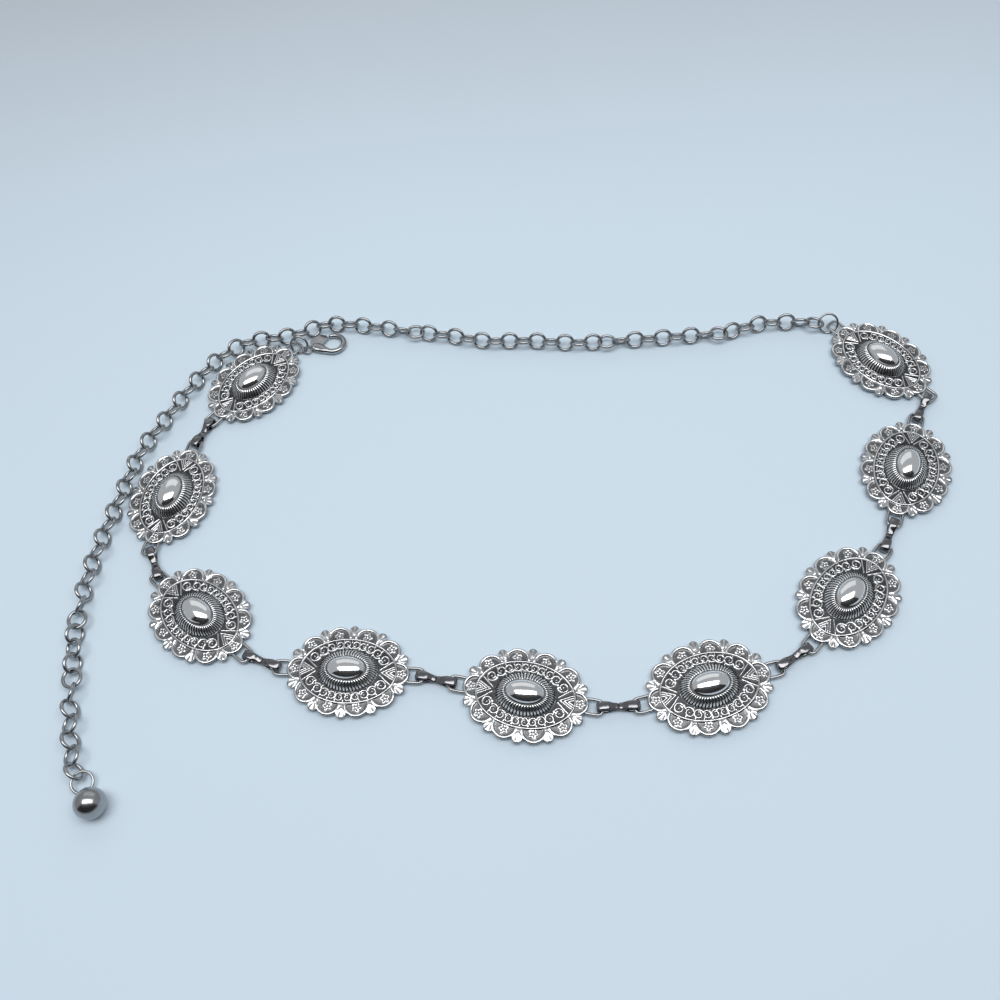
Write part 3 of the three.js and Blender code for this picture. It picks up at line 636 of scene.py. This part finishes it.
@dataclass
class Chain:
    """The cable chain, link by link along the same way as in the CAD part."""

    material: bpy.types.Material
    length: float = 8.86
    width: float = 8.3
    wire: float = 1.45
    pitch: float = 6.357
    first_turn: float = -12.0
    seam: float = 0.72
    start_height: float = 3.61

    ORIGIN = (7.787, 80.893)
    START = (144.047, 79.089)
    RUNS = (ChainRun("chain_back", 36, 0.0), ChainRun("chain_tail", 42, 0.1))
    TWISTS = ((1, 3, 70), (7, 10, 90), (14, 17, -90), (29, 32, 90), (66, 69, -90), (71, 74, 90))
    ROUTE = (
        (126, 163.5), (106.5, 160), (88, 160.7), (62, 161.5), (37, 163.5), (18, 167.3),
        (-0.5, 169.5), (-19, 175.5), (-37.5, 180.5), (-61, 187.3), (-73.5, 189.4),
        (-92.5, 184.6), (-110.8, 183.8), (-123.3, 176.8), (-134.8, 162.9), (-147, 142.7),
        (-156, 126.5), (-162.5, 103), (-168.8, 79.5), (-171.7, 62), (-172.8, 43.5),
        (-171.3, 25.5), (-169.5, 7.5), (-165.8, -10), (-161, -20),
    )

    def route(self) -> np.ndarray:
        """Closely spaced points of a smooth line through the route, level by level.

        Each stretch between two points is a centripetal Catmull-Rom curve.
        """
        knots = np.vstack([self.START, np.array(self.ROUTE, float) - self.ORIGIN])
        ends = np.vstack([2 * knots[0] - knots[1], knots, 2 * knots[-1] - knots[-2]])
        share = np.linspace(0, 1, 2500)[:, None]
        found = []
        for a, b, c, d in zip(ends, ends[1:], ends[2:], ends[3:]):
            steps = [np.sqrt(np.linalg.norm(q - p)) for p, q in ((a, b), (b, c), (c, d))]
            first = (b - a) / steps[0] - (c - a) / (steps[0] + steps[1]) + (c - b) / steps[1]
            last = (c - b) / steps[1] - (d - b) / (steps[1] + steps[2]) + (d - c) / steps[2]
            first, last = first * steps[1], last * steps[1]
            found.append(
                b
                + first * share
                + (3 * (c - b) - 2 * first - last) * share**2
                + (2 * (b - c) + first + last) * share**3
            )
        return np.vstack(found)

    def turn(self, number: int) -> float:
        """How far a link is rolled round the chain's line, in radians."""
        twisted = sum(
            turn * min(max((number - low) / (high - low), 0.0), 1.0) for low, high, turn in self.TWISTS
        )
        return float(np.radians(self.first_turn + 90.0 * (number - 1) + twisted))

    def rest(self, number: int) -> float:
        """The height of a link's middle when it lies on the ground."""
        return (self.width - self.wire) / 2 * abs(np.sin(self.turn(number))) + self.wire / 2

    def joints(self) -> list[tuple[str, int, np.ndarray, np.ndarray]]:
        """Walks the route and gives each link's node, number and two ends."""
        line = self.route()
        ahead = np.gradient(line, axis=0)
        ahead /= np.maximum(np.linalg.norm(ahead, axis=1, keepdims=True), 1e-9)
        aside = np.stack([-ahead[:, 1], ahead[:, 0]], axis=-1)
        start = np.array([*self.START, self.start_height])
        at, number, found = 0, 1, []
        for run in self.RUNS:
            if found:
                before = found[-1][3] - found[-1][2]
                start = start - before / np.linalg.norm(before) * self.seam
            for _ in range(run.links):
                side = 1.0 if number % 2 == 0 else -1.0
                way = line + aside * side * run.swing * self.width
                height = max(self.rest(number), self.rest(number + 1))
                away = np.hypot(*(way[at:] - start[:2]).T) ** 2 + (height - start[2]) ** 2
                at = at + int(np.argmax(away >= self.pitch**2))
                end = np.array([*way[at], height])
                found.append((run.node, number, start, end))
                start, number = end, number + 1
        return found

    def link(self, number: int, start: np.ndarray, end: np.ndarray, shape: Sheet) -> Sheet:
        """One link between two joints, rolled by its turn."""
        ahead = (end - start) / np.linalg.norm(end - start)
        side = np.array([-ahead[1], ahead[0], 0.0])
        side /= np.linalg.norm(side)
        up = np.cross(ahead, side)
        turn = self.turn(number)
        normal = np.cos(turn) * up + np.sin(turn) * side
        matrix = np.eye(4)
        matrix[:3, :3] = np.stack([ahead, np.cross(normal, ahead), normal], axis=1)
        matrix[:3, 3] = (start + end) / 2
        return shape.moved(matrix)

    def build(self) -> None:
        """Makes the two runs of the chain."""
        shape = wire_loop(self.length, self.width, self.wire, 30, 10)
        joints = self.joints()
        for run in self.RUNS:
            links = [self.link(n, a, b, shape) for node, n, a, b in joints if node == run.node]
            piece = Sheet.joined(links).to_object(f"{run.node}_links", self.material)
            seat(piece, BELT, Tone.CHAIN, run.node)


@dataclass
class Ball:
    """The ball at the chain's end, with its small eye."""

    material: bpy.types.Material
    size: float = 11.3
    middle: tuple[float, float, float] = (-164.53, -105.4, 5.65)
    eye: tuple[float, float, float] = (-167.82, -99.99, 1.72)

    def build(self) -> None:
        """Makes the ball as a sphere of rows and columns, and the eye as a wire loop."""
        down = np.linspace(0.0, np.pi, 48)[:, None]
        turn = (np.arange(96) / 96 * 2 * np.pi)[None, :]
        sphere = np.stack(
            [np.sin(down) * np.cos(turn), np.sin(down) * np.sin(turn), np.cos(down) + 0 * turn], axis=-1
        )
        ball = Sheet.grid(sphere * self.size / 2 + np.array(self.middle))
        outward = np.array(self.eye) - np.array(self.middle)
        outward /= np.linalg.norm(outward)
        level = np.cross([0, 0, 1.0], outward)
        level /= np.linalg.norm(level)
        matrix = np.eye(4)
        matrix[:3, :3] = np.stack([outward, np.cross(level, outward), level], axis=1)
        matrix[:3, 3] = self.eye
        eye = wire_loop(3.6, 3.4, 0.8, 32, 10).moved(matrix)
        piece = Sheet.joined([ball, eye]).to_object("ball_smooth", self.material)
        seat(piece, BELT, Tone.CHAIN, "ball")


@dataclass
class Clasp:
    """The lobster clasp: a smooth hooked body, and its CAD lever with rounded edges."""

    material: bpy.types.Material
    eye: tuple[float, float, float] = (-91.95, 96.25, 1.5)
    heading: float = 10.0
    span: float = 12.3
    hook: float = 4.85

    SPINE = ((1.7, 0.25, 0.9), (2.6, 0.3, 2.0), (3.9, 0.2, 2.6), (5.6, -0.8, 2.55), (7.3, -2.5, 1.9))

    def body(self) -> Sheet:
        """The body's tube: from the eye, over the pivot, round the hook to its nose."""
        share = np.linspace(0, 1, 48)
        turn = np.radians(-128 + 237 * share)
        hook = np.stack(
            [self.span + self.hook * np.cos(turn), self.hook * np.sin(turn), 1.35 - 0.35 * share**3], axis=-1
        )
        rough = np.vstack([self.SPINE, hook])
        gone = np.concatenate([[0.0], np.cumsum(np.linalg.norm(np.diff(rough[:, :2], axis=0), axis=1))])
        even = np.linspace(0, gone[-1], 110)
        spine = np.stack([np.interp(even, gone, rough[:, column]) for column in range(3)], axis=-1)
        for _ in range(6):
            spine[1:-1] = (spine[:-2] + 2 * spine[1:-1] + spine[2:]) / 4
        cap = np.minimum(even, even[::-1]) / 1.1
        cap = np.clip(cap, 0, 1)
        radius = spine[:, 2] * np.sqrt(cap * (2 - cap))
        path = np.stack([spine[:, 0], spine[:, 1], 0 * even], axis=-1)
        return tube(path, radius, 20, closed=False, top=1.5)

    def build(self) -> None:
        """Makes the body, and gives the carried-over lever its material and a fine bevel."""
        turn = np.radians(self.heading)
        matrix = np.eye(4)
        matrix[:2, :2] = [[np.cos(turn), -np.sin(turn)], [np.sin(turn), np.cos(turn)]]
        matrix[:3, 3] = self.eye
        loop = wire_loop(4.9, 4.9, 0.95, 36, 12)
        body = Sheet.joined([self.body(), loop]).moved(matrix)
        seat(body.to_object("clasp_body_smooth", self.material), BELT, Tone.CHAIN, "clasp_body")
        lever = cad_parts["clasp_lever"]
        lever.data.materials.clear()
        lever.data.materials.append(self.material)
        bevel = lever.modifiers.new("rounded", "BEVEL")
        bevel.width = 0.3 * MM
        bevel.segments = 3
        bevel.limit_method = "ANGLE"
        bevel.angle_limit = np.radians(35)


class Value:
    """A shader value that plain operators combine."""

    def __init__(self, tree: "ShaderTree", socket: bpy.types.NodeSocket) -> None:
        self.tree = tree
        self.socket = socket

    def _math(self, operation: str, first: object, second: object) -> "Value":
        return self.tree.node("ShaderNodeMath", "Value", {0: first, 1: second}, operation=operation)

    def __add__(self, other: object) -> "Value":
        return self._math("ADD", self, other)

    def __radd__(self, other: object) -> "Value":
        return self._math("ADD", other, self)

    def __sub__(self, other: object) -> "Value":
        return self._math("SUBTRACT", self, other)

    def __rsub__(self, other: object) -> "Value":
        return self._math("SUBTRACT", other, self)

    def __mul__(self, other: object) -> "Value":
        return self._math("MULTIPLY", self, other)

    def __rmul__(self, other: object) -> "Value":
        return self._math("MULTIPLY", other, self)

    def __pow__(self, other: object) -> "Value":
        return self._math("POWER", self, other)


class ShaderTree:
    """A material's node tree, with one method for any node."""

    def __init__(self, name: str) -> None:
        self.material = bpy.data.materials.new(name)
        self.material.use_nodes = True
        self.nodes = self.material.node_tree.nodes
        self.links = self.material.node_tree.links
        self.shader = self.nodes["Principled BSDF"]

    def plug(self, target: bpy.types.NodeSocket, value: object) -> None:
        """Links a value to a socket, or sets a constant on it."""
        if isinstance(value, Value):
            self.links.new(value.socket, target)
        else:
            target.default_value = value

    def node(self, kind: str, output: str | int, inputs: dict | None = None, **settings: object) -> Value:
        """Adds a node.

        Args:
            kind: Blender's node type.
            output: The output wanted.
            inputs: Values for its inputs, by name or number.
            settings: The node's own properties.

        Returns:
            The output as a value.
        """
        node = self.nodes.new(kind)
        for label, setting in settings.items():
            setattr(node, label, setting)
        for key, value in (inputs or {}).items():
            self.plug(node.inputs[key], value)
        return Value(self, node.outputs[output])

    def place(self) -> Value:
        """The piece's own coordinates."""
        return self.node("ShaderNodeTexCoord", "Object")

    def noise(self, scale: float, detail: float = 3.0) -> Value:
        """Soft noise from 0 to 1 over the piece."""
        return self.node(
            "ShaderNodeTexNoise",
            "Fac",
            {"Vector": self.place(), "Scale": scale, "Detail": detail},
        )

    def blend(self, share: Value, low: tuple, high: tuple) -> Value:
        """A colour between two."""
        node = self.nodes.new("ShaderNodeMix")
        node.data_type = "RGBA"
        self.plug(node.inputs["Factor"], share)
        self.plug(node.inputs[6], (*low, 1.0))
        self.plug(node.inputs[7], (*high, 1.0))
        return Value(self, node.outputs[2])

    def attribute(self, name: str) -> Value:
        """A named value of the piece's points."""
        return self.node("ShaderNodeAttribute", "Fac", attribute_name=name)

    def bump(self, height: Value, distance: float, strength: float) -> Value:
        """Fine bumps from a height."""
        return self.node(
            "ShaderNodeBump",
            "Normal",
            {"Height": height, "Distance": distance, "Strength": strength},
        )


@dataclass(frozen=True)
class MetalFinish:
    """A metal's colours, its sheen and how much its tarnish shows."""

    tone: Tone
    bright: tuple[float, float, float]
    dull: tuple[float, float, float]
    sheen: float
    wear: float
    tarnished: bool = False

    def material(self) -> bpy.types.Material:
        """Makes the material."""
        tree = ShaderTree(self.tone.value)
        cloud = tree.noise(220.0)
        grain = tree.noise(2600.0, 2.0)
        if self.tarnished:
            tarnish = tree.attribute("tarnish")
            share = tarnish + (cloud - 0.5) * self.wear
            rough = self.sheen + tarnish * 0.28 + grain * 0.05
        else:
            share = (cloud - 0.35) * (self.wear * 2.0)
            rough = self.sheen + cloud * 0.1
        colour = tree.blend(share, self.bright, self.dull)
        tree.plug(tree.shader.inputs["Base Color"], colour)
        tree.plug(tree.shader.inputs["Roughness"], rough)
        tree.plug(tree.shader.inputs["Metallic"], 1.0)
        tree.plug(tree.shader.inputs["Normal"], tree.bump(grain, 0.00004, 0.25))
        return tree.material


FINISHES = {
    Tone.CONCHO: MetalFinish(Tone.CONCHO, (0.84, 0.85, 0.86), (0.024, 0.025, 0.028), 0.09, 0.12, True),
    Tone.LINK: MetalFinish(Tone.LINK, (0.22, 0.22, 0.23), (0.09, 0.09, 0.095), 0.1, 0.4),
    Tone.CHAIN: MetalFinish(Tone.CHAIN, (0.4, 0.41, 0.42), (0.17, 0.17, 0.18), 0.17, 0.5),
}


@dataclass
class Studio:
    """Ground, lights and camera, as in the photo."""

    camera_place: tuple[float, float, float] = (-9.75, -198.44, 338.1)
    pitch: float = 58.95
    roll: float = -5.81
    lens: float = 33.97

    def ground(self) -> None:
        """A plain pale floor with faint unevenness, and painted shade that darkens it towards the far side."""
        tree = ShaderTree(Tone.GROUND.value)
        # Painted shade: the floor's colour darkens from y 0.12 to 0.62 m towards the far side, where the light falls
        # off.
        split = tree.node("ShaderNodeSeparateXYZ", "Y", {"Vector": tree.place()})
        away = tree.node(
            "ShaderNodeMapRange",
            "Result",
            {"Value": split, "From Min": 0.12, "From Max": 0.62},
            interpolation_type="SMOOTHSTEP",
        )
        cloud = tree.noise(3.0)
        far_shaded_tint = tree.blend(away + (cloud - 0.5) * 0.2, (0.65, 0.77, 0.87), (0.49, 0.515, 0.56))
        tree.plug(tree.shader.inputs["Base Color"], far_shaded_tint)
        tree.plug(tree.shader.inputs["Roughness"], 0.75)
        floor = Sheet.grid(
            np.array([[[x, y, 0.0] for x in (-3000.0, 3000.0)] for y in (-3000.0, 3000.0)]),
            close_columns=False,
        ).to_object("floor", tree.material)

    def card(self) -> None:
        """A black card in front, below the camera's view, for the dark reflections."""
        tree = ShaderTree("black_card")
        tree.plug(tree.shader.inputs["Base Color"], tree.blend(tree.noise(4.0), (0.01, 0.01, 0.01), (0.02, 0.02, 0.02)))
        tree.plug(tree.shader.inputs["Roughness"], 0.9)
        rows = [[[x, -430.0, z] for x in (-900.0, 900.0)] for z in (60.0, 1150.0)]
        card = Sheet.grid(np.array(rows), close_columns=False).to_object("front_card", tree.material)

    def light(self, name: str, place: tuple, aim: tuple, size: tuple, power: float) -> None:
        """A soft rectangular light aimed at a point."""
        lamp = bpy.data.lights.new(name, "AREA")
        lamp.shape = "RECTANGLE"
        lamp.size, lamp.size_y = size
        lamp.energy = power
        holder = bpy.data.objects.new(name, lamp)
        holder.location = place
        holder.rotation_mode = "QUATERNION"
        holder.rotation_quaternion = (Vector(aim) - Vector(place)).to_track_quat("-Z", "Y")
        bpy.context.scene.collection.objects.link(holder)

    def world(self) -> None:
        """Even pale surroundings."""
        world = bpy.data.worlds.new("surroundings")
        world.use_nodes = True
        back = world.node_tree.nodes["Background"]
        back.inputs["Color"].default_value = (0.83, 0.86, 0.89, 1.0)
        back.inputs["Strength"].default_value = 0.5
        bpy.context.scene.world = world

    def camera(self) -> None:
        """The camera where the photo was taken from, turned by its pitch and roll."""
        pitch, roll = np.radians(self.pitch), np.radians(self.roll)
        ahead = np.array([0, np.cos(pitch), -np.sin(pitch)])
        right = np.array([1.0, 0, 0])
        up = np.cross(right, ahead)
        turned_right = np.cos(roll) * right + np.sin(roll) * up
        turned_up = np.cos(roll) * up - np.sin(roll) * right
        matrix = Matrix.Identity(4)
        for column, way in enumerate((turned_right, turned_up, -ahead)):
            for row in range(3):
                matrix[row][column] = way[row]
        matrix.translation = Vector(self.camera_place) * MM
        lens = bpy.data.cameras.new("camera")
        lens.lens = self.lens
        lens.sensor_width = 36.0
        lens.clip_start = 0.01
        lens.dof.use_dof = False
        holder = bpy.data.objects.new("camera", lens)
        holder.matrix_world = matrix
        bpy.context.scene.collection.objects.link(holder)
        bpy.context.scene.camera = holder

    def build(self) -> None:
        """Sets the whole stage."""
        self.ground()
        self.card()
        self.world()
        self.light("overhead", (0.0, -0.12, 0.95), (0.0, -0.12, 0.0), (1.3, 0.46), 7.0)
        self.light("far_panel", (0.0, 1.0, 0.75), (0.0, 0.0, 0.0), (1.6, 0.75), 1.5)
        self.camera()
        bpy.context.scene.view_settings.view_transform = "Standard"


@dataclass
class ConchoBelt:
    """The whole belt."""

    def build(self) -> None:
        """Builds every piece over the frame."""
        materials = {tone: finish.material() for tone, finish in FINISHES.items()}
        ConchoRow(materials[Tone.CONCHO]).build()
        LinkRow(materials[Tone.LINK]).build()
        JumpRings(materials[Tone.CHAIN]).build()
        Chain(materials[Tone.CHAIN]).build()
        Ball(materials[Tone.CHAIN]).build()
        Clasp(materials[Tone.CHAIN]).build()


def main() -> None:
    """Builds the belt and its studio."""
    logging.basicConfig(level=logging.INFO)
    ConchoBelt().build()
    Studio().build()


if __name__ == "__main__":
    main()
